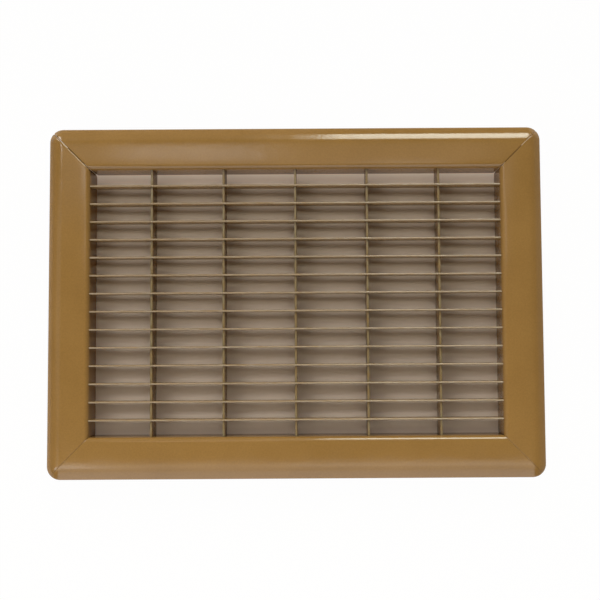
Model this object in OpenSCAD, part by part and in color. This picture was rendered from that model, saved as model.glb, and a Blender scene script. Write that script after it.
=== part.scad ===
// Drop-in floor grille with fixed bars. Four mitred rails of one rolled section carry an interlocked core.
// The origin is at the middle of the collar's foot, +Z is up, and the long bars run along X.

/* [Opening] */
// Length of the floor opening that the collar drops into
opening_w = 304.8; // [203.2:0.1:406.4]
// Width of that opening
opening_d = 203.2; // [152.4:0.1:304.8]
// Reach of the face past the opening on each side
face_overlap = 22.225; // [18:0.025:30]

/* [Rail section] */
// Height from the collar's foot to the top of the face
face_h = 22.2; // [20:0.1:32]
// Width of a rail, from its rim to the collar's wall
rail_w = 29.6; // [27:0.1:34]
// Thickness of the rolled sheet
sheet_t = 1; // [0.6:0.05:1.2]
// Height of the face above the bottom of the rim
rim_drop = 7; // [6:0.1:8]
// Upright lip at the bottom of the rim
rim_lip = 1; // [0.5:0.1:1.8]
// Radius of the bend between lip and bevel
rim_bend_r = 1.5; // [1.3:0.1:2]
// Slope of the bevel
bevel_angle = 36; // [33:1:45]
// Radius between bevel and face
shoulder_r = 6; // [4:0.1:7]
// Slope of the crowned face at its two edges
crown_angle = 2.5; // [1:0.1:4]
// Radius of the roll from the face into the collar
roll_r = 3.2; // [2:0.1:4]

/* [Corners] */
// Radius of the outer corners, seen from above
corner_r = 9.5; // [9:0.1:13]
// Open seam between two mitred rails
seam_gap = 0.4; // [0.1:0.05:0.8]
// Length of each arm of the plate under a corner
plate_arm = 42; // [30:1:60]
// Width of that plate's arms
plate_w = 14; // [10:0.5:15]
// Thickness of that plate
plate_t = 1.2; // [0.8:0.1:2]

/* [Long bars] */
// Spacing of the long bars
bar_pitch = 12.7; // [8:0.1:18]
// Thickness of a long bar
bar_t = 1.3; // [1:0.05:2]
// Depth of a long bar
bar_h = 11; // [9:0.1:12]
// Depth of the long bars' tops below the face
bar_drop = 2; // [0.5:0.1:3]
// Height of the tenon at each end of a long bar
bar_tenon_h = 6; // [3:0.1:7]

/* [Cross bars] */
// Spacing of the cross bars
cross_pitch = 50.8; // [30:0.1:70]
// Thickness of a cross bar
cross_t = 1.5; // [1:0.05:2.5]
// Depth of the cross bars' tops below the face
cross_drop = 3.8; // [2.5:0.1:5]
// Height of the cross bars' bottoms above the collar's foot
cross_lift = 1.4; // [0.5:0.1:2.5]
// Height of the tenon at each end of a cross bar
cross_tenon_h = 8; // [4:0.1:10]

/* [Fits] */
// Clearance round a tenon in its slot
slot_gap = 0.1; // [0.05:0.01:0.2]
// Clearance on each side of a crossed bar in its notch
notch_gap = 0.1; // [0.05:0.01:0.2]
// Clearance between a bar's shoulder and the collar's wall
end_gap = 0.1; // [0.05:0.01:0.2]
// How far a tenon stands out behind the collar's wall
tenon_out = 0.8; // [0.3:0.1:1.5]
// Clearance between a corner plate and the face above it
plate_gap = 0.05; // [0.02:0.01:0.1]

/* [Hidden] */
face_w = opening_w + 2 * face_overlap;
face_d = opening_d + 2 * face_overlap;
inner_w = face_w - 2 * rail_w;
inner_d = face_d - 2 * rail_w;

bar_count = round(inner_d / bar_pitch) - 1;
cross_count = round(inner_w / cross_pitch) - 1;
function bar_y(i) = (i - (bar_count + 1) / 2) * bar_pitch;
function cross_x(i) = (i - (cross_count + 1) / 2) * cross_pitch;

bar_top = face_h - bar_drop;
bar_bottom = bar_top - bar_h;
cross_top = face_h - cross_drop;
cross_bottom = cross_lift;
// Long and cross bars each give up half of the height that they share
lap_z = (bar_bottom + cross_top) / 2;

// Tangent points and centres of the rail's section, as [distance in from the rim, height]
function unit(a) = [cos(a), sin(a)];
bevel_normal = unit(90 + bevel_angle);
rim_z = face_h - rim_drop;
// Rise and run that the lip, bend and shoulder leave for the bevel and the crown
free_rise = rim_drop - rim_lip - rim_bend_r * cos(bevel_angle)
    - shoulder_r * (cos(crown_angle) - cos(bevel_angle));
free_run = rail_w - rim_bend_r * (1 - sin(bevel_angle))
    - shoulder_r * (sin(bevel_angle) - sin(crown_angle)) - roll_r * (1 - sin(crown_angle));
crown_r = (free_run - free_rise / tan(bevel_angle))
    / (2 * sin(crown_angle) - (1 - cos(crown_angle)) / tan(bevel_angle));
bevel_len = (free_rise - crown_r * (1 - cos(crown_angle))) / sin(bevel_angle);
bend_c = [rim_bend_r, rim_z + rim_lip];
shoulder_c = bend_c + rim_bend_r * bevel_normal + bevel_len * unit(bevel_angle) - shoulder_r * bevel_normal;
crown_c = shoulder_c + (shoulder_r - crown_r) * unit(90 + crown_angle);
roll_c = crown_c + (crown_r - roll_r) * unit(90 - crown_angle);

plate_top = crown_c[1] + sqrt(pow(crown_r - sheet_t, 2) - pow(plate_w / 2, 2)) - plate_gap;

bend_steps = 8;
crown_steps = 8;
slop = 1;

enamel = [0.57, 0.43, 0.24];
enamel_edge = [0.63, 0.5, 0.31];

corners = [["back_left", -1, 1], ["back_right", 1, 1], ["front_left", -1, -1], ["front_right", 1, -1]];

function reversed(v) = [for (i = [len(v) - 1:-1:0]) v[i]];

// Points from first to last step of an arc that is cut into the given number of steps
function arc(c, r, from, to, steps, first, last) =
    [for (i = [first:last]) c + r * unit(from + (to - from) * i / steps)];

// One skin of the sheet, from the bottom of the rim to the collar's foot, at a depth below the outer skin
function skin(depth) = concat(
    [[depth, rim_z]],
    arc(bend_c, rim_bend_r - depth, 180, 90 + bevel_angle, bend_steps, 0, bend_steps),
    arc(shoulder_c, shoulder_r - depth, 90 + bevel_angle, 90 + crown_angle, bend_steps, 0, bend_steps),
    arc(crown_c, crown_r - depth, 90 + crown_angle, 90 - crown_angle, crown_steps, 1, crown_steps - 1),
    arc(roll_c, roll_r - depth, 90 - crown_angle, 0, bend_steps, 0, bend_steps),
    [[rail_w - depth, 0]]
);

// Section of a rail, with the rim at 0 and the collar on the -X side
module rail_section() {
    mirror([1, 0]) polygon(concat(skin(0), reversed(skin(sheet_t))));
}

// The eighth of a turn that carries the rim, bevel and shoulder round a corner, up to the mitre
module corner_sweep() {
    rotate_extrude(angle = 45, $fn = 96) intersection() {
        translate([corner_r, 0]) rail_section();
        translate([0, -slop]) square([corner_r + slop, face_h + 2 * slop]);
    }
}

// Plan of a rail between its two mitres, kept half a seam short of each
module mitre_plan(length) {
    cut = seam_gap / 2 * sqrt(2);
    far = rail_w + slop;
    linear_extrude(height = face_h + slop) polygon([
        [-length / 2 - slop + cut, slop], [length / 2 + slop - cut, slop],
        [length / 2 - far - cut, -far], [-length / 2 + far + cut, -far]
    ]);
}

// A rail along X with its rim at Y = 0 and its collar wall towards -Y, slotted for tenons
module rail(length, slots, tenon_t, tenon_h, tenon_z) {
    color(enamel) difference() {
        intersection() {
            union() {
                rotate([90, 0, 90]) linear_extrude(height = length - 2 * corner_r, center = true) rail_section();
                for (side = [0, 1]) mirror([side, 0, 0])
                    translate([length / 2 - corner_r, -corner_r, 0]) rotate([0, 0, 45]) corner_sweep();
            }
            mitre_plan(length);
        }
        for (x = slots) translate([x, sheet_t / 2 - rail_w, tenon_z])
            cube([tenon_t + 2 * slot_gap, sheet_t + slop, tenon_h + 2 * slot_gap], center = true);
    }
}

module long_rail() {
    slots = [for (i = [1:cross_count]) cross_x(i)];
    translate([0, face_d / 2, 0]) rail(face_w, slots, cross_t, cross_tenon_h, (cross_top + cross_bottom) / 2);
}

module short_rail() {
    slots = [for (i = [1:bar_count]) bar_y(i)];
    translate([0, face_w / 2, 0]) rail(face_d, slots, bar_t, bar_tenon_h, (bar_top + bar_bottom) / 2);
}

// Outline of a bar seen from its side: shoulders at the collar's walls and a tenon at each end
module bar_outline(span, bottom, top, tenon_h) {
    translate([end_gap - span / 2, bottom]) square([span - 2 * end_gap, top - bottom]);
    translate([0, (top + bottom) / 2]) square([span + 2 * (sheet_t + tenon_out), tenon_h], center = true);
}

// A bar on edge along X, notched from below where it passes over each cross bar
module long_bar(i) {
    color(enamel_edge) translate([0, bar_y(i), 0]) rotate([90, 0, 0]) linear_extrude(height = bar_t, center = true)
        difference() {
            bar_outline(inner_w, bar_bottom, bar_top, bar_tenon_h);
            for (k = [1:cross_count]) translate([cross_x(k) - cross_t / 2 - notch_gap, bar_bottom - slop])
                square([cross_t + 2 * notch_gap, lap_z - bar_bottom + slop]);
        }
}

// A deeper bar on edge along Y, notched from above for each long bar
module cross_bar(i) {
    color(enamel) translate([cross_x(i), 0, 0]) rotate([90, 0, 90]) linear_extrude(height = cross_t, center = true)
        difference() {
            bar_outline(inner_d, cross_bottom, cross_top, cross_tenon_h);
            for (k = [1:bar_count]) translate([bar_y(k) - bar_t / 2 - notch_gap, lap_z])
                square([bar_t + 2 * notch_gap, cross_top - lap_z + slop]);
        }
}

// Flat angle plate that joins two rails under their mitre, with its outer corner cut off
module corner_plate(side_x, side_y) {
    corner = crown_c[0] - plate_w / 2;
    chamfer = plate_w / 3;
    color(enamel) mirror([side_x < 0 ? 1 : 0, 0, 0]) mirror([0, side_y < 0 ? 1 : 0, 0])
        translate([face_w / 2 - corner, face_d / 2 - corner, plate_top - plate_t])
            linear_extrude(height = plate_t) polygon([
                [-chamfer, 0], [-plate_arm, 0], [-plate_arm, -plate_w], [-plate_w, -plate_w],
                [-plate_w, -plate_arm], [0, -plate_arm], [0, -chamfer]
            ]);
}

long_rail();  // back_rail
rotate([0, 0, 180]) long_rail();  // front_rail
rotate([0, 0, 90]) short_rail();  // left_rail
rotate([0, 0, -90]) short_rail();  // right_rail
for (c = corners) corner_plate(c[1], c[2]);
for (i = [1:bar_count]) long_bar(i);
for (i = [1:cross_count]) cross_bar(i);
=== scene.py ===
"""Looks of a drop-in floor grille in gloss enamel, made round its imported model.

Shapes are worked out in millimetres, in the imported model's frame, and become metres when their mesh is made.
Lamps and camera are placed in metres.
"""

import math

import bmesh
import bpy
import numpy as np
from mathutils import Matrix


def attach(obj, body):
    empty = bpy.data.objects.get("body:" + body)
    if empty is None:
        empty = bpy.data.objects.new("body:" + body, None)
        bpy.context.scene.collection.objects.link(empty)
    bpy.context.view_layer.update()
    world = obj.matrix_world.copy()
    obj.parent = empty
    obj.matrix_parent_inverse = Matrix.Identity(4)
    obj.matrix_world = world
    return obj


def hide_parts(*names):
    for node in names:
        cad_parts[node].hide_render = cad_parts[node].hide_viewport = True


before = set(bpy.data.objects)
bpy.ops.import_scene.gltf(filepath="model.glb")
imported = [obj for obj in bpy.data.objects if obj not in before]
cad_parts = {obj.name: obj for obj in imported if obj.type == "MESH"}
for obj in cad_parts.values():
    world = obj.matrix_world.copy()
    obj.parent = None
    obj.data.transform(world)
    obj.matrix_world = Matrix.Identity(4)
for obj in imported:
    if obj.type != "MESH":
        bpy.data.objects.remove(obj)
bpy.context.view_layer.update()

# Sizes in millimetres and degrees, the same as in the part's source
FACE_W, FACE_D, FACE_H = 349.25, 247.65, 22.2
RAIL_W, SHEET_T, CORNER_R = 29.6, 1.0, 9.5
RIM_DROP, RIM_LIP, RIM_BEND_R = 7.0, 1.0, 1.5
BEVEL_ANGLE, CROWN_ANGLE, ROLL_R = 36.0, 2.5, 3.2
PLATE_ARM, PLATE_W, PLATE_T, PLATE_GAP = 42.0, 14.0, 1.2, 0.05
BAR_PITCH, BAR_T, BAR_H, BAR_DROP, BAR_TENON_H, BARS = 12.7, 1.3, 11.0, 2.0, 6.0, 14
CROSS_PITCH, CROSS_T, CROSS_DROP, CROSS_LIFT, CROSS_TENON_H, CROSSES = 50.8, 1.5, 3.8, 1.4, 8.0, 5
SLOT_GAP, NOTCH_GAP, END_GAP, TENON_OUT = 0.1, 0.1, 0.1, 0.8

# The solids' shoulder has a radius of 6. Here it is rounder, at most 0.4 off, for its highlight's width
SHOULDER_R = 14.0
# Radii of the strips' edges
BAR_TOP_R, CROSS_TOP_R, LOW_EDGE_R = 0.6, 0.15, 0.13
# Dimples that spot welds leave in a corner plate: radius, depth, and distances from its outer corner
DIMPLE_R, DIMPLE_DEPTH, DIMPLES_AT = 2.6, 0.35, (20, 33)
# Cut ends of the rails: rounding of the edge, how far and over what width the sheet dips at the cut, and
# the gap left to the mitre plane at the rim and at the collar
TIGHT = (0.2, 0.02, 0.6, 0.01, 0.05)
OPEN = (0.3, 0.1, 1.2, 0.01, 0.17)
BRIGHT = (0.45, 0.36, 1.8, 0.1, 0.2)

# Half the size of the opening inside the collar, heights of edges, and places of the strips
IN_W, IN_D = FACE_W / 2 - RAIL_W, FACE_D / 2 - RAIL_W
RIM_Z = FACE_H - RIM_DROP
BAR_TOP = FACE_H - BAR_DROP
BAR_LOW = BAR_TOP - BAR_H
CROSS_TOP = FACE_H - CROSS_DROP
LAP_Z = (BAR_LOW + CROSS_TOP) / 2
BAR_Y = (np.arange(BARS) - (BARS - 1) / 2) * BAR_PITCH
CROSS_X = (np.arange(CROSSES) - (CROSSES - 1) / 2) * CROSS_PITCH

ROOT2 = math.sqrt(2)
# Metres in a millimetre
MM = 0.001
# A length too small to matter
HAIR = 1e-6

# Surfaces

# Points closer than this, in metres, become one
MERGE_WITHIN = 2e-6
# Edges that turn by more than this many degrees stay sharp
RAIL_CREASE, STRIP_CREASE = 28, 40


def unit(degrees):
    """Unit vectors at angles from the first axis, each the cosine and the sine of its angle."""
    angle = np.radians(degrees)
    return np.stack([np.cos(angle), np.sin(angle)], -1)


def mix(start, end, share):
    """Start times one less the share, plus end times the share."""
    return np.asarray(start) * (1 - share) + np.asarray(end) * share


def smooth_mesh(name, points, faces, crease):
    """Object from points in mm.

    Points that coincide are merged, faces turned outwards, and edges over the crease angle kept sharp.
    """
    mesh = bpy.data.meshes.new(name)
    mesh.from_pydata((points * MM).tolist(), [], faces.tolist())
    bm = bmesh.new()
    bm.from_mesh(mesh)
    bmesh.ops.remove_doubles(bm, verts=bm.verts, dist=MERGE_WITHIN)
    loose = [v for v in bm.verts if not v.link_faces]
    bmesh.ops.delete(bm, geom=loose, context="VERTS")
    bmesh.ops.recalc_face_normals(bm, faces=bm.faces)
    bm.to_mesh(mesh)
    bm.free()
    mesh.polygons.foreach_set("use_smooth", np.ones(len(mesh.polygons), bool))
    mesh.set_sharp_from_angle(angle=math.radians(crease))
    obj = bpy.data.objects.new(name, mesh)
    bpy.context.scene.collection.objects.link(obj)
    return obj


def carried(near, far):
    """Solid through two chains of points, each (stations, n, 3), which together close one section.

    Face (i, j) joins stations i and i + 1 between points j and j + 1 of the closed section, and a strip of
    faces between the two chains caps each end. Returns the points, the side faces as (stations - 1, 2 n, 4),
    and the caps.
    """
    stations, n, _ = near.shape
    ring = 2 * n
    loops = np.concatenate([near, far[:, ::-1]], 1)
    i, j = np.meshgrid(np.arange(stations - 1), np.arange(ring), indexing="ij")
    k = (j + 1) % ring
    sides = np.stack([i * ring + j, i * ring + k, (i + 1) * ring + k, (i + 1) * ring + j], -1)
    a = np.arange(n - 1)
    strip = np.stack([a, a + 1, ring - 2 - a, ring - 1 - a], -1)
    caps = np.concatenate([strip, strip + (stations - 1) * ring])
    return loops.reshape(-1, 3), sides, caps


def turned(points, quarter_turns, shift):
    """Points turned about Z by quarter turns, then moved."""
    c, s = [(1, 0), (0, 1), (-1, 0), (0, -1)][quarter_turns % 4]
    out = points.copy()
    out[:, 0] = c * points[:, 0] - s * points[:, 1]
    out[:, 1] = s * points[:, 0] + c * points[:, 1]
    return out + np.asarray(shift, float)


# Rails

# The bevel and the crowned face fill the height and width that lip, bend, shoulder and roll leave of a rail
TAN_B, SIN_B, COS_B = (f(math.radians(BEVEL_ANGLE)) for f in (math.tan, math.sin, math.cos))
SIN_C, COS_C = (f(math.radians(CROWN_ANGLE)) for f in (math.sin, math.cos))
FREE_RISE = RIM_DROP - RIM_LIP - RIM_BEND_R * COS_B - SHOULDER_R * (COS_C - COS_B)
FREE_RUN = RAIL_W - RIM_BEND_R * (1 - SIN_B) - SHOULDER_R * (SIN_B - SIN_C) - ROLL_R * (1 - SIN_C)
CROWN_R = (FREE_RUN - FREE_RISE / TAN_B) / (2 * SIN_C - (1 - COS_C) / TAN_B)
BEVEL_LEN = (FREE_RISE - CROWN_R * (1 - COS_C)) / SIN_B

# Centres of the arcs, as [distance in from the rim, height]. Arcs that meet share their normal there
BEND_C = np.array([RIM_BEND_R, RIM_Z + RIM_LIP])
SHOULDER_C = BEND_C + (RIM_BEND_R - SHOULDER_R) * unit(90 + BEVEL_ANGLE) + BEVEL_LEN * unit(BEVEL_ANGLE)
CROWN_C = SHOULDER_C + (SHOULDER_R - CROWN_R) * unit(90 + CROWN_ANGLE)
ROLL_C = CROWN_C + (CROWN_R - ROLL_R) * unit(90 - CROWN_ANGLE)

# Each arc's centre, radius, angles and number of points, and how many of them the arc before it already has
RAIL_ARCS = (
    (BEND_C, RIM_BEND_R, 180, 90 + BEVEL_ANGLE, 9, 0),
    (SHOULDER_C, SHOULDER_R, 90 + BEVEL_ANGLE, 90 + CROWN_ANGLE, 17, 0),
    (CROWN_C, CROWN_R, 90 + CROWN_ANGLE, 90 - CROWN_ANGLE, 15, 1),
    (ROLL_C, ROLL_R, 90 - CROWN_ANGLE, 0, 17, 1),
)

# Distances of an end's stations from its cut, closest where the cut edge is rounded
END_STEPS = np.array([0, 0.07, 0.16, 0.3, 0.45, 0.62, 0.85, 1.15, 1.6, 2.3, 3.2, 4.3, 5.4, 6.5])
# Stations between the ends: how many, how far past the last slot, and at least how far from a slot
MIDDLE_STEPS, PAST_SLOTS, CLEAR_OF_SLOT = 41, 0.4, 0.3
# The gap at a mitre grows from this distance in from the rim, over this width
GAP_FROM, GAP_OVER = 5, 10


def rail_section(slot_high, slot_low):
    """Outer skin of a rail as [distance in from the rim, height], and each point's direction into the sheet.

    From the rim's lip it goes over the bend, bevel, shoulder, crowned face and roll, and down the collar's
    wall. Each arc is its centre plus its radius times a unit vector, and the sheet's other skin lies SHEET_T
    further along the direction into the sheet.
    """
    skin = [np.array([[0, RIM_Z]])]
    inward = [np.array([[1.0, 0]])]
    for centre, radius, start, end, count, shared in RAIL_ARCS:
        ray = unit(np.linspace(start, end, count))[shared:]
        skin.append(centre + radius * ray)
        inward.append(-ray)
    wall = np.array([slot_high, slot_low, 0.0])
    skin.append(np.stack([np.full(len(wall), RAIL_W), wall], -1))
    inward.append(np.tile([-1.0, 0.0], (len(wall), 1)))
    return np.concatenate(skin), np.concatenate(inward)


def round_corner(depth, mitre, half):
    """Where points of the section lie along and across a rail that goes round its corner.

    A point at a depth in from the rim keeps that depth on the straight, at half - depth - root 2 times its
    distance from the mitre plane. Within the corner it turns about the corner's axis. There the sine of what
    its angle leaves of 45 degrees is that distance over its own radius.
    """
    radius = CORNER_R - depth
    in_arc = mitre < radius / ROOT2
    ratio = np.where(in_arc, mitre / np.maximum(radius, HAIR), 0)
    angle = np.pi / 4 - np.arcsin(np.clip(ratio, 0, 1))
    along = np.where(in_arc, half - CORNER_R + radius * np.sin(angle), half - depth - ROOT2 * mitre)
    across = np.where(in_arc, -CORNER_R + radius * np.cos(angle), -depth)
    return along, across


def mitred_end(skin, inward, half, side, edge_r, dip, dip_w, rim_gap, collar_gap):
    """Stations of a rail's outer and inner skin from a mitre to past the round corner, in order along X.

    At the cut the outer skin falls away on a quarter circle of radius edge_r. Both skins sink there by dip
    times the square of one less the distance over dip_w. The gap has its size at the rim up to GAP_FROM, and
    from there grows evenly over GAP_OVER to that at the collar.
    """
    quarter = edge_r - np.sqrt(np.maximum(edge_r**2 - (edge_r - END_STEPS) ** 2, 0))
    rounded = np.where(END_STEPS < edge_r, quarter, 0)
    sunk = dip * np.clip(1 - END_STEPS / dip_w, 0, 1) ** 2
    chains = []
    for depth in (rounded + sunk, SHEET_T + sunk):
        flat = skin + depth[:, None, None] * inward
        gap = rim_gap + (collar_gap - rim_gap) * np.clip((flat[..., 0] - GAP_FROM) / GAP_OVER, 0, 1)
        along, across = round_corner(flat[..., 0], gap + END_STEPS[:, None], half)
        chain = np.stack([side * along, across, flat[..., 1]], -1)
        chains.append(chain if side < 0 else chain[::-1])
    return chains


def rail(name, length, slots, ends, quarter_turns, shift):
    """Rolled section carried along a rail and round the half of a corner at each end, slotted for tenons.

    slots gives the slots' places along the rail, their half width, the height of their middle and their
    half height. ends gives the cut at the -X and the +X end.
    """
    places, half_w, slot_z, half_h = slots
    skin, inward = rail_section(slot_z + half_h, slot_z - half_h)
    cuts = np.sort(np.concatenate([places - half_w, places + half_w]))
    spread = np.linspace(-cuts[-1] - PAST_SLOTS, cuts[-1] + PAST_SLOTS, MIDDLE_STEPS)
    clear = np.abs(spread[:, None] - places).min(1) > half_w + CLEAR_OF_SLOT
    mids = np.sort(np.concatenate([cuts, spread[clear]]))

    left, right = (mitred_end(skin, inward, length / 2, side, *end) for side, end in zip((-1, 1), ends))
    chains = []
    for i, depth in enumerate((0, SHEET_T)):
        flat = skin + depth * inward
        middle = np.stack(np.broadcast_arrays(mids[:, None], -flat[:, 0], flat[:, 1]), -1)
        chains.append(np.concatenate([left[i], middle, right[i]]))
    points, sides, caps = carried(*chains)

    # The wall has a point at a slot's upper edge, one at its lower edge and one at its foot, so a slot takes
    # one face out of each skin. Four faces line it through the sheet
    ring = 2 * len(skin)
    first = len(END_STEPS) + np.searchsorted(mids, places - half_w - HAIR)
    high, low = len(skin) - 3, len(skin) - 2
    inner_high, inner_low = ring - 1 - high, ring - 1 - low
    keep = np.ones(sides.shape[:2], bool)
    keep[first, high] = False
    keep[first, inner_low] = False
    at = first * ring
    lining = [np.stack([k + high, k + low, k + inner_low, k + inner_high], -1) for k in (at, at + ring)]
    for outer, inner in ((high, inner_high), (low, inner_low)):
        lining.append(np.stack([at + outer, at + ring + outer, at + ring + inner, at + inner], -1))
    faces = np.concatenate([sides[keep], caps, *lining])
    return smooth_mesh(name, turned(points, quarter_turns, shift), faces, RAIL_CREASE)


# Long bars and cross bars

# Points on a strip's quarter-round edge
EDGE_POINTS = 5
# A tenon's tip is upset a little: distance back from the tip, and gain of its half height and thickness
TENON_TIP = ((0, -0.3, -0.22), (0.12, -0.1, 0.1), (0.3, 0.08, 0.16))
# From this distance outside the collar's wall inwards a tenon has its plain size
PLAIN_FROM = 0.12


def bar(name, stations, rows, thickness, top_r, lengthwise, place):
    """Strip on edge as a section with quarter-round edges, carried along its length.

    Each station is (distance along, bottom, top, extra half thickness). The section's side rows are held
    between that station's bottom and top, so its steps form the notches, shoulders and tenons.
    """
    along, low, high, extra = np.array(stations, float).T
    arc = np.linspace(0, np.pi / 2, EDGE_POINTS)
    half = thickness / 2
    w_low = half - LOW_EDGE_R * (1 - np.cos(np.pi / 2 - arc))
    z_low = LOW_EDGE_R * (1 - np.sin(np.pi / 2 - arc))
    w_top = half - top_r * (1 - np.cos(arc))
    z_top = -top_r * (1 - np.sin(arc))
    w = np.concatenate([w_low, np.full(len(rows), half), w_top]) + extra[:, None]
    z_rows = np.clip(np.array(rows), low[:, None] + LOW_EDGE_R, high[:, None] - top_r)
    z = np.concatenate([low[:, None] + z_low, z_rows, high[:, None] + z_top], 1)
    s = np.tile(along[:, None], (1, w.shape[1]))

    def chain(side):
        across = place + side * w
        return np.stack([s, across, z] if lengthwise else [across, s, z], -1)

    points, sides, caps = carried(chain(-1), chain(1))
    return smooth_mesh(name, points, np.concatenate([sides.reshape(-1, 4), caps]), STRIP_CREASE)


def bar_stations(span, bottom, top, tenon_h, notches, notch_half, notch_low, notch_high):
    """Stations of a strip: at each end a tenon and a shoulder, and a pair of steps at each notch."""
    mid = (bottom + top) / 2
    t_low, t_high = mid - tenon_h / 2, mid + tenon_h / 2
    tip = span / 2 + SHEET_T + TENON_OUT
    wall = span / 2 + SHEET_T + PLAIN_FROM
    shoulder = span / 2 - END_GAP
    end = [(tip - back, t_low - rise, t_high + rise, gain) for back, rise, gain in TENON_TIP]
    end += [(wall, t_low, t_high, 0), (shoulder, t_low, t_high, 0), (shoulder, bottom, top, 0)]
    out = [(-s, low, high, extra) for s, low, high, extra in end]
    for x in notches:
        before, after = x - notch_half, x + notch_half
        out += [(before, bottom, top, 0), (before, notch_low, notch_high, 0)]
        out += [(after, notch_low, notch_high, 0), (after, bottom, top, 0)]
    return out + end[::-1]


# Corner plates

# Points along an arm of a plate and across it
ARM_POINTS, ACROSS_POINTS = 44, 18


def corner_plate(name, side_x, side_y):
    """L-shaped plate as a strip carried round its corner, with weld dimples pressed into its lower side.

    A point is a mix of the outer and inner edge of the L at one station. A dimple lifts the lower side by
    its depth times half of one plus the cosine of the distance from its middle, scaled so that its radius is
    half a turn.
    """
    chamfer = PLATE_W / 3
    mid = PLATE_W / 2
    arm = np.linspace(0, 1, ARM_POINTS)[:, None]
    outer_arm = mix([-PLATE_ARM, 0.0], [-chamfer, 0.0], arm)
    inner_arm = mix([-PLATE_ARM, -PLATE_W], [-PLATE_W, -PLATE_W], arm)
    outer = np.concatenate([outer_arm, outer_arm[::-1, ::-1]])
    inner = np.concatenate([inner_arm, inner_arm[::-1, ::-1]])
    flat = mix(outer[:, None], inner[:, None], np.linspace(0, 1, ACROSS_POINTS)[None, :, None])

    def dimple(x, y):
        far = np.hypot(flat[..., 0] - x, flat[..., 1] - y) / DIMPLE_R
        return DIMPLE_DEPTH * np.where(far < 1, 0.5 + 0.5 * np.cos(np.pi * np.clip(far, 0, 1)), 0)

    dimples = sum(dimple(-d, -mid) + dimple(-mid, -d) for d in DIMPLES_AT)
    top_z = CROWN_C[1] + math.sqrt((CROWN_R - SHEET_T) ** 2 - mid**2) - PLATE_GAP
    corner = CROWN_C[0] - mid
    x = side_x * (FACE_W / 2 - corner + flat[..., 0])
    y = side_y * (FACE_D / 2 - corner + flat[..., 1])
    upper = np.stack([x, y, np.full_like(x, top_z)], -1)
    lower = np.stack([x, y, top_z - PLATE_T + dimples], -1)
    points, sides, caps = carried(upper, lower)
    return smooth_mesh(name, points, np.concatenate([sides.reshape(-1, 4), caps]), STRIP_CREASE)


# Finishes

WHITE = (1, 1, 1, 1)
# Nearly all values of a noise pattern lie in this range
NOISE_SPREAD = {"From Min": 0.3, "From Max": 0.7}
# How far down from a strip's top the paler band reaches, partly thinner film and partly painted highlight
PALE_EDGE_BAND = 0.45


def linear(hex_code):
    """Linear red, green, blue and alpha of an sRGB hex value."""
    c = np.array([int(hex_code[k : k + 2], 16) for k in (1, 3, 5)]) / 255
    rgb = np.where(c > 0.04045, ((c + 0.055) / 1.055) ** 2.4, c / 12.92)
    return (*rgb.tolist(), 1.0)


def add(tree, kind, inputs=(), **settings):
    """Adds a node with its settings and inputs to a tree.

    An input, by name or number, takes a value, an output of another node, or another node, which stands for
    its first output.
    """
    node = tree.nodes.new(kind)
    for key, value in settings.items():
        setattr(node, key, value)
    for key, value in dict(inputs).items():
        source = value.outputs[0] if isinstance(value, bpy.types.Node) else value
        if isinstance(source, bpy.types.NodeSocket):
            tree.links.new(source, node.inputs[key])
        else:
            node.inputs[key].default_value = source
    return node


def new_material(name):
    """Material without nodes, and its tree."""
    material = bpy.data.materials.new(name)
    material.use_nodes = True
    material.node_tree.nodes.clear()
    return material, material.node_tree


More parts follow.
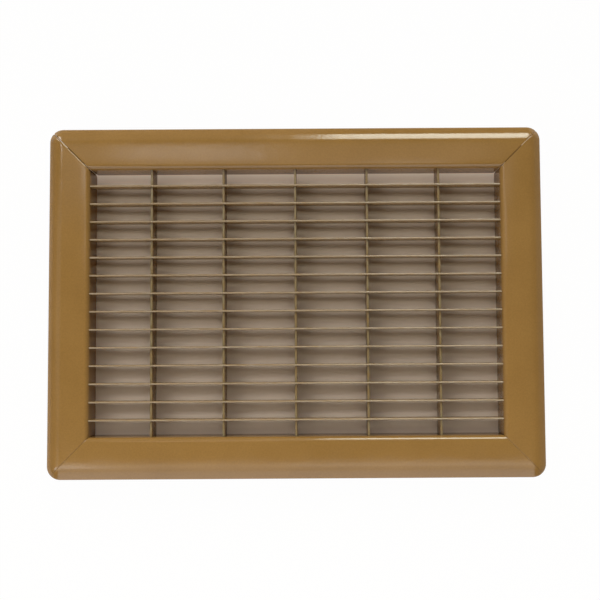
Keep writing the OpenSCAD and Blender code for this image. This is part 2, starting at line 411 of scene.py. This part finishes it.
def baked_enamel(name, body, deep, gloss, pale_edge=None, top_z=None):
    """Baked gloss enamel, sprayed on sheet steel.

    It gives the eye an even golden brown with a soft drift of tone, a fine grain, an orange peel that breaks
    up highlights, and on a strip a paler band along its top edge at top_z, partly a thinner film and partly a
    painted highlight.
    """
    material, tree = new_material(name)
    place = add(tree, "ShaderNodeTexCoord").outputs["Object"]

    # Drift of tone over about 40 mm, as a spray gun leaves it
    drift = add(tree, "ShaderNodeTexNoise",
                {"Vector": place, "Scale": 25.0, "Detail": 3.0, "Roughness": 0.55})
    tone = add(tree, "ShaderNodeMapRange", {"Value": drift, **NOISE_SPREAD})
    colour = add(tree, "ShaderNodeMix", {"Factor": tone, 6: linear(body), 7: linear(deep)},
                 data_type="RGBA").outputs[2]
    # Grain of 1.2 mm: pigment that settled unevenly, drawn coarser than real so that it shows
    grain = add(tree, "ShaderNodeTexNoise",
                {"Vector": place, "Scale": 850.0, "Detail": 2.0, "Roughness": 0.6})
    speck = add(tree, "ShaderNodeMapRange",
                {"Value": grain, "From Min": 0.35, "From Max": 0.65, "To Min": 0.955, "To Max": 1.045})
    colour = add(tree, "ShaderNodeVectorMath", {0: colour, 1: speck}, operation="MULTIPLY").outputs[0]
    if pale_edge:
        # Paler band at the top edge, partly film drawn back from the edge and partly painted highlight,
        # stronger in
        #         # some patches of 7 mm than in others
        height = add(tree, "ShaderNodeSeparateXYZ", {"Vector": place}).outputs["Z"]
        rise = add(tree, "ShaderNodeMapRange",
                   {"Value": height, "From Min": (top_z - PALE_EDGE_BAND) * MM, "From Max": top_z * MM})
        patch = add(tree, "ShaderNodeTexNoise",
                    {"Vector": place, "Scale": 140.0, "Detail": 3.0, "Roughness": 0.6})
        paler_by_patch = add(tree, "ShaderNodeMapRange",
                    {"Value": patch, **NOISE_SPREAD, "To Min": 0.35, "To Max": 0.9})
        share = add(tree, "ShaderNodeMath", {0: rise, 1: paler_by_patch}, operation="MULTIPLY")
        colour = add(tree, "ShaderNodeMix", {"Factor": share, 6: colour, 7: linear(pale_edge)},
                     data_type="RGBA").outputs[2]

    # Patches of 9 mm that are glossier or duller
    dull = add(tree, "ShaderNodeTexNoise",
               {"Vector": place, "Scale": 110.0, "Detail": 3.0, "Roughness": 0.6})
    rough = add(tree, "ShaderNodeMapRange",
                {"Value": dull, **NOISE_SPREAD, "To Min": gloss[0], "To Max": gloss[1]})
    # Orange peel of 2.5 mm, and slow waves of 70 mm in the rolled sheet
    peel = add(tree, "ShaderNodeTexNoise",
               {"Vector": place, "Scale": 400.0, "Detail": 1.5, "Roughness": 0.45})
    wave = add(tree, "ShaderNodeTexNoise",
               {"Vector": place, "Scale": 14.0, "Detail": 1.0, "Roughness": 0.4})
    slow = add(tree, "ShaderNodeBump", {"Height": wave, "Strength": 0.35, "Distance": 1.2 * MM})
    fine = add(tree, "ShaderNodeBump",
               {"Height": peel, "Normal": slow, "Strength": 0.3, "Distance": 0.12 * MM})
    shader = add(tree, "ShaderNodeBsdfPrincipled",
                 {"Base Color": colour, "Roughness": rough, "Normal": fine, "IOR": 1.52})
    add(tree, "ShaderNodeOutputMaterial", {"Surface": shader})
    return material


RAIL_ENAMEL = baked_enamel("baked_enamel_on_rolled_rail", "#946F3C", "#8D6937", (0.1, 0.18))
# The long bars' pale top edge colour is partly a painted highlight
BAR_ENAMEL = baked_enamel("baked_enamel_on_long_bar", "#94764D", "#8A6C3D", (0.16, 0.26),
                          "#9C8D79", BAR_TOP)
# The cross bars carry the same enamel as the rest, drawn in darker colours as painted shade
SHADED_CROSS_ENAMEL = baked_enamel("baked_enamel_on_cross_bar_in_painted_shade", "#866433", "#7B5B2B", (0.2, 0.32),
                            "#807458", CROSS_TOP)
PLATE_ENAMEL = baked_enamel("baked_enamel_on_stamped_plate", "#86633A", "#7A592F", (0.3, 0.45))


# The grille


def dress(piece, node, material):
    """Gives a piece its finish and puts it in place of a CAD node."""
    piece.data.materials.append(material)
    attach(piece, "root")
    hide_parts(node)


# Slots of the long and the short rails: places, half width, height of the middle and half height
CROSS_SLOTS = (CROSS_X, CROSS_T / 2 + SLOT_GAP, (CROSS_TOP + CROSS_LIFT) / 2, CROSS_TENON_H / 2 + SLOT_GAP)
BAR_SLOTS = (BAR_Y, BAR_T / 2 + SLOT_GAP, (BAR_TOP + BAR_LOW) / 2, BAR_TENON_H / 2 + SLOT_GAP)
for name, length, slots, ends, quarter_turns, shift in (
    ("back_rail", FACE_W, CROSS_SLOTS, (OPEN, OPEN), 0, (0, FACE_D / 2, 0)),
    ("front_rail", FACE_W, CROSS_SLOTS, (TIGHT, TIGHT), 2, (0, -FACE_D / 2, 0)),
    ("left_rail", FACE_D, BAR_SLOTS, (TIGHT, BRIGHT), 1, (-FACE_W / 2, 0, 0)),
    ("right_rail", FACE_D, BAR_SLOTS, (OPEN, TIGHT), 3, (FACE_W / 2, 0, 0)),
):
    made = rail(name + "_sheet", length, slots, ends, quarter_turns, shift)
    dress(made, name, RAIL_ENAMEL)

# Heights of the rows along a strip's sides: near its tenons' lower and upper edge, and at the lap, clear of
# the edge radius there
BAR_MID, CROSS_MID = BAR_SLOTS[2], CROSS_SLOTS[2]
LAP_CLEAR, TENON_CLEAR = 0.3, 0.42
BAR_ROWS = sorted([BAR_MID - BAR_TENON_H / 2, LAP_Z + LOW_EDGE_R, BAR_MID + BAR_TENON_H / 2 - TENON_CLEAR])
CROSS_ROWS = sorted([CROSS_MID - CROSS_TENON_H / 2, LAP_Z - LAP_CLEAR, CROSS_MID + CROSS_TENON_H / 2])
# A long bar is notched from below at the cross bars, and a cross bar from above at the long bars
BAR_STATIONS = bar_stations(2 * IN_W, BAR_LOW, BAR_TOP, BAR_TENON_H,
                            CROSS_X, CROSS_T / 2 + NOTCH_GAP, LAP_Z, BAR_TOP)
CROSS_STATIONS = bar_stations(2 * IN_D, CROSS_LIFT, CROSS_TOP, CROSS_TENON_H,
                              BAR_Y, BAR_T / 2 + NOTCH_GAP, CROSS_LIFT, LAP_Z)
for i, y in enumerate(BAR_Y):
    made = bar(f"long_bar_{i + 1}_strip", BAR_STATIONS, BAR_ROWS, BAR_T, BAR_TOP_R, True, y)
    dress(made, f"long_bar_{i + 1}", BAR_ENAMEL)
for i, x in enumerate(CROSS_X):
    made = bar(f"cross_bar_{i + 1}_strip", CROSS_STATIONS, CROSS_ROWS, CROSS_T, CROSS_TOP_R, False, x)
    dress(made, f"cross_bar_{i + 1}", SHADED_CROSS_ENAMEL)

for row, side_y in (("back", 1), ("front", -1)):
    for column, side_x in (("left", -1), ("right", 1)):
        made = corner_plate(f"corner_plate_{row}_{column}_stamping", side_x, side_y)
        dress(made, f"corner_plate_{row}_{column}", PLATE_ENAMEL)

# Floor

# Half the floor's side, in metres
FLOOR_REACH = 4.0
# Half the size of the outline, a little past the rim, from which the floor is seen as white. The fade to
# white starts this far outside a box that is smaller by the corner radius
WHITE_W, WHITE_D = FACE_W / 2 + 3.5, FACE_D / 2 + 1.8
FADE_FROM = 1.5
# Share of plain white in what is seen there
WHITE_SHARE = 0.98
# Painted glow on the board inside the collar, in place of light coming in under it, though the collar stands
# # flat: how far in it reaches, its strength at the back and the front wall, the share of it that lights other
# # pieces, and its linear colour
GLOW_REACH, GLOW_BACK, GLOW_FRONT, GLOW_CAST = 11, 0.32, 0.08, 0.75
GLOW_TINT = (1, 0.82, 0.66, 1)


def backdrop_board(name, body, deep):
    """Pale painted board under the grille, which the camera and gloss see as plain white outside the grille,
    and which has a painted glow inside the collar along its back and front walls.

    How far a point lies outside the smaller box is the length of the vector by which its distances from the
    middle exceed the box's half sizes. That rounds the outline's corners.
    """
    material, tree = new_material(name)
    place = add(tree, "ShaderNodeTexCoord").outputs["Object"]
    # Blotches of 17 mm in the paint, as a roller leaves them
    blotch = add(tree, "ShaderNodeTexNoise",
                 {"Vector": place, "Scale": 60.0, "Detail": 4.0, "Roughness": 0.6})
    tone = add(tree, "ShaderNodeMapRange", {"Value": blotch, **NOISE_SPREAD})
    paint = add(tree, "ShaderNodeMix", {"Factor": tone, 6: linear(body), 7: linear(deep)}, data_type="RGBA")
    board = add(tree, "ShaderNodeBsdfPrincipled",
                {"Base Color": paint.outputs[2], "Roughness": 0.6, "IOR": 1.45})

    ray = add(tree, "ShaderNodeLightPath").outputs
    by_camera, by_gloss = ray["Is Camera Ray"], ray["Is Glossy Ray"]
    box = ((WHITE_W - CORNER_R) * MM, (WHITE_D - CORNER_R) * MM, 0)
    flat = add(tree, "ShaderNodeVectorMath", {0: place}, operation="ABSOLUTE")
    past = add(tree, "ShaderNodeVectorMath", {0: flat, 1: box}, operation="SUBTRACT")
    past = add(tree, "ShaderNodeVectorMath", {0: past, 1: (0, 0, 0)}, operation="MAXIMUM")
    away = add(tree, "ShaderNodeVectorMath", {0: past}, operation="LENGTH").outputs["Value"]
    outside = add(tree, "ShaderNodeMapRange",
                  {"Value": away, "From Min": FADE_FROM * MM, "From Max": CORNER_R * MM})
    seen = add(tree, "ShaderNodeMath", {0: by_camera, 1: by_gloss}, operation="MAXIMUM")
    share = add(tree, "ShaderNodeMath", {0: seen, 1: outside}, operation="MULTIPLY")
    share = add(tree, "ShaderNodeMath", {0: share, 1: WHITE_SHARE}, operation="MULTIPLY")

    # Painted glow on the board along the collar's back and front walls, brightest at the wall
    along = add(tree, "ShaderNodeSeparateXYZ", {"Vector": place}).outputs["Y"]
    glow_sides = []
    for side, strength in ((1, GLOW_BACK), (-1, GLOW_FRONT)):
        reach = add(tree, "ShaderNodeMath", {0: along, 1: side / MM}, operation="MULTIPLY")
        fade = add(tree, "ShaderNodeMapRange",
                   {"Value": reach, "From Min": IN_D - GLOW_REACH, "From Max": IN_D, "To Max": strength})
        inside = add(tree, "ShaderNodeMath", {0: reach, 1: IN_D + SHEET_T}, operation="LESS_THAN")
        glow_sides.append(add(tree, "ShaderNodeMath", {0: fade, 1: inside}, operation="MULTIPLY"))
    glow_strength = add(tree, "ShaderNodeMath", {0: glow_sides[0], 1: glow_sides[1]}, operation="ADD")
    aside = add(tree, "ShaderNodeSeparateXYZ", {"Vector": flat}).outputs["X"]
    between = add(tree, "ShaderNodeMath", {0: aside, 1: (IN_W + SHEET_T) * MM}, operation="LESS_THAN")
    glow_strength = add(tree, "ShaderNodeMath", {0: glow_strength, 1: between}, operation="MULTIPLY")
    cast = add(tree, "ShaderNodeMapRange", {"Value": by_camera, "To Min": GLOW_CAST})
    glow_strength = add(tree, "ShaderNodeMath", {0: glow_strength, 1: cast}, operation="MULTIPLY")
    glow = add(tree, "ShaderNodeEmission", {"Color": GLOW_TINT, "Strength": glow_strength})

    lit = add(tree, "ShaderNodeAddShader", {0: board, 1: glow})
    white = add(tree, "ShaderNodeEmission", {"Color": WHITE, "Strength": 1.0})
    both = add(tree, "ShaderNodeMixShader", {"Fac": share, 1: lit, 2: white})
    add(tree, "ShaderNodeOutputMaterial", {"Surface": both})
    return material


floor_mesh = bpy.data.meshes.new("floor")
floor_corners = [(x * FLOOR_REACH, y * FLOOR_REACH, 0) for x, y in ((-1, -1), (1, -1), (1, 1), (-1, 1))]
floor_mesh.from_pydata(floor_corners, [], [(0, 1, 2, 3)])
floor = bpy.data.objects.new("floor", floor_mesh)
bpy.context.scene.collection.objects.link(floor)
floor.data.materials.append(backdrop_board("pale_painted_board", "#EAD8C3", "#E5D3BD"))

# Light

# Strength of the air's own light
AIR_LIGHT = 0.03


def studio_air(name):
    """World that gives a little even light, and that the camera sees as plain white."""
    world = bpy.data.worlds.new(name)
    world.use_nodes = True
    tree = world.node_tree
    tree.nodes.clear()
    ray = add(tree, "ShaderNodeLightPath").outputs
    air = add(tree, "ShaderNodeBackground", {"Color": WHITE, "Strength": AIR_LIGHT})
    white = add(tree, "ShaderNodeBackground", {"Color": WHITE, "Strength": 1.0})
    both = add(tree, "ShaderNodeMixShader", {"Fac": ray["Is Camera Ray"], 1: air, 2: white})
    add(tree, "ShaderNodeOutputWorld", {"Surface": both})
    return world


def panel(name, radiance, low, high, tint=(1, 1, 1)):
    """Lamp that fills the flat box from low to high, in metres, and faces the grille's side of it.

    Its power is its radiance times pi times its area, and its tint is a linear colour.
    """
    low, high = np.array(low, float), np.array(high, float)
    middle = (low + high) / 2
    flat = int(np.argmin(high - low))
    across, along = (k for k in range(3) if k != flat)
    back = np.eye(3)[flat] * np.sign(middle[flat])
    side = np.eye(3)[across]
    data = bpy.data.lights.new(name, "AREA")
    data.shape = "RECTANGLE"
    data.size, data.size_y = (high - low)[[across, along]].tolist()
    data.energy = radiance * math.pi * data.size * data.size_y
    data.color = tint
    lamp = bpy.data.objects.new(name, data)
    turn = np.stack([side, np.cross(back, side), back], 1)
    rows = [[*row, p] for row, p in zip(turn.tolist(), middle.tolist())]
    lamp.matrix_world = Matrix([*rows, [0, 0, 0, 1]])
    lamp.visible_camera = False
    bpy.context.scene.collection.objects.link(lamp)


bpy.context.scene.world = studio_air("studio")

# A window at the back right with slightly yellow daylight, five lamps to the sides that light the paint
# without showing in the gloss of the rails' faces, and pale ceiling and walls, whose sheen lies over parts
# of the rails and bars
panel("window", 10.3, (0.05, 2.2, 0.9), (1.05, 2.2, 3.0), tint=(1.0, 1.02, 0.88))
for name, radiance, low, high in (
    ("lamp_high_left", 9.0, (-1.85, 0.78, 2.6), (-1.4, 1.1, 2.6)),
    ("lamp_back_left", 6.8, (-1.1, 0.95, 0.35), (-0.62, 0.95, 1.15)),
    ("lamp_back_right", 2.4, (0.62, 0.95, 0.35), (1.1, 0.95, 1.15)),
    ("lamp_front_left", 3.1, (-1.0, -0.9, 0.5), (-1.0, -0.32, 1.25)),
    ("lamp_over_front_left", 1.7, (-1.4, -0.95, 1.3), (-0.5, -0.4, 1.3)),
    ("wall_beside_window", 0.2, (-2.0, 2.2, 0.1), (0.05, 2.2, 2.7)),
    ("near_wall", 1.5, (-0.5, -0.88, 0.02), (0.45, -0.88, 0.63)),
    ("ceiling_near_wall", 1.2, (-0.5, -0.72, 0.52), (0.45, -0.376, 0.52)),
    ("ceiling_front_left", 1.25, (-0.4, -0.376, 0.52), (-0.02, -0.215, 0.52)),
    ("ceiling_front_right", 1.65, (-0.02, -0.376, 0.52), (0.4, -0.215, 0.52)),
    ("ceiling_over", 0.6, (-0.38, 0.136, 1.3), (0.12, 0.28, 1.3)),
    ("ceiling_over_right", 1.5, (0.12, 0.16, 1.3), (0.3, 0.28, 1.3)),
    ("ceiling_far_left", 0.35, (-2.2, -0.2, 1.3), (-0.9, 0.42, 1.3)),
    ("ceiling_patch", 2.1, (-0.42, 0.30, 1.3), (-0.09, 0.51, 1.3)),
    ("ceiling_patch_left", 0.45, (-0.7, 0.28, 1.3), (-0.42, 0.52, 1.3)),
    ("ceiling_patch_right", 0.45, (-0.09, 0.28, 1.3), (0.42, 0.52, 1.3)),
    ("wall_left", 0.1, (-2.4, -1.6, 0.05), (-2.4, 1.6, 1.0)),
    ("wall_right", 0.2, (2.4, -1.6, 0.05), (2.4, 1.6, 1.0)),
):
    panel(name, radiance, low, high)

# Camera

# The photograph's side, the focal length and the shift of the optical centre, in its pixels
PHOTO_PX, FOCAL_PX, SHIFT_PX = 600, 855.3, -16
SENSOR_W = 36.0
# Place in metres, and turns about X, Y and Z in degrees
CAMERA_AT = (0.01409, -0.03067, 0.620)
CAMERA_TURN = (3.018, -0.006, -0.345)

lens = bpy.data.cameras.new("camera")
lens.sensor_width = SENSOR_W
lens.lens = FOCAL_PX * SENSOR_W / PHOTO_PX
lens.shift_x = SHIFT_PX / PHOTO_PX
camera = bpy.data.objects.new("camera", lens)
camera.location = CAMERA_AT
camera.rotation_euler = [math.radians(turn) for turn in CAMERA_TURN]
bpy.context.scene.collection.objects.link(camera)
bpy.context.scene.camera = camera
bpy.context.scene.view_settings.view_transform = "Standard"
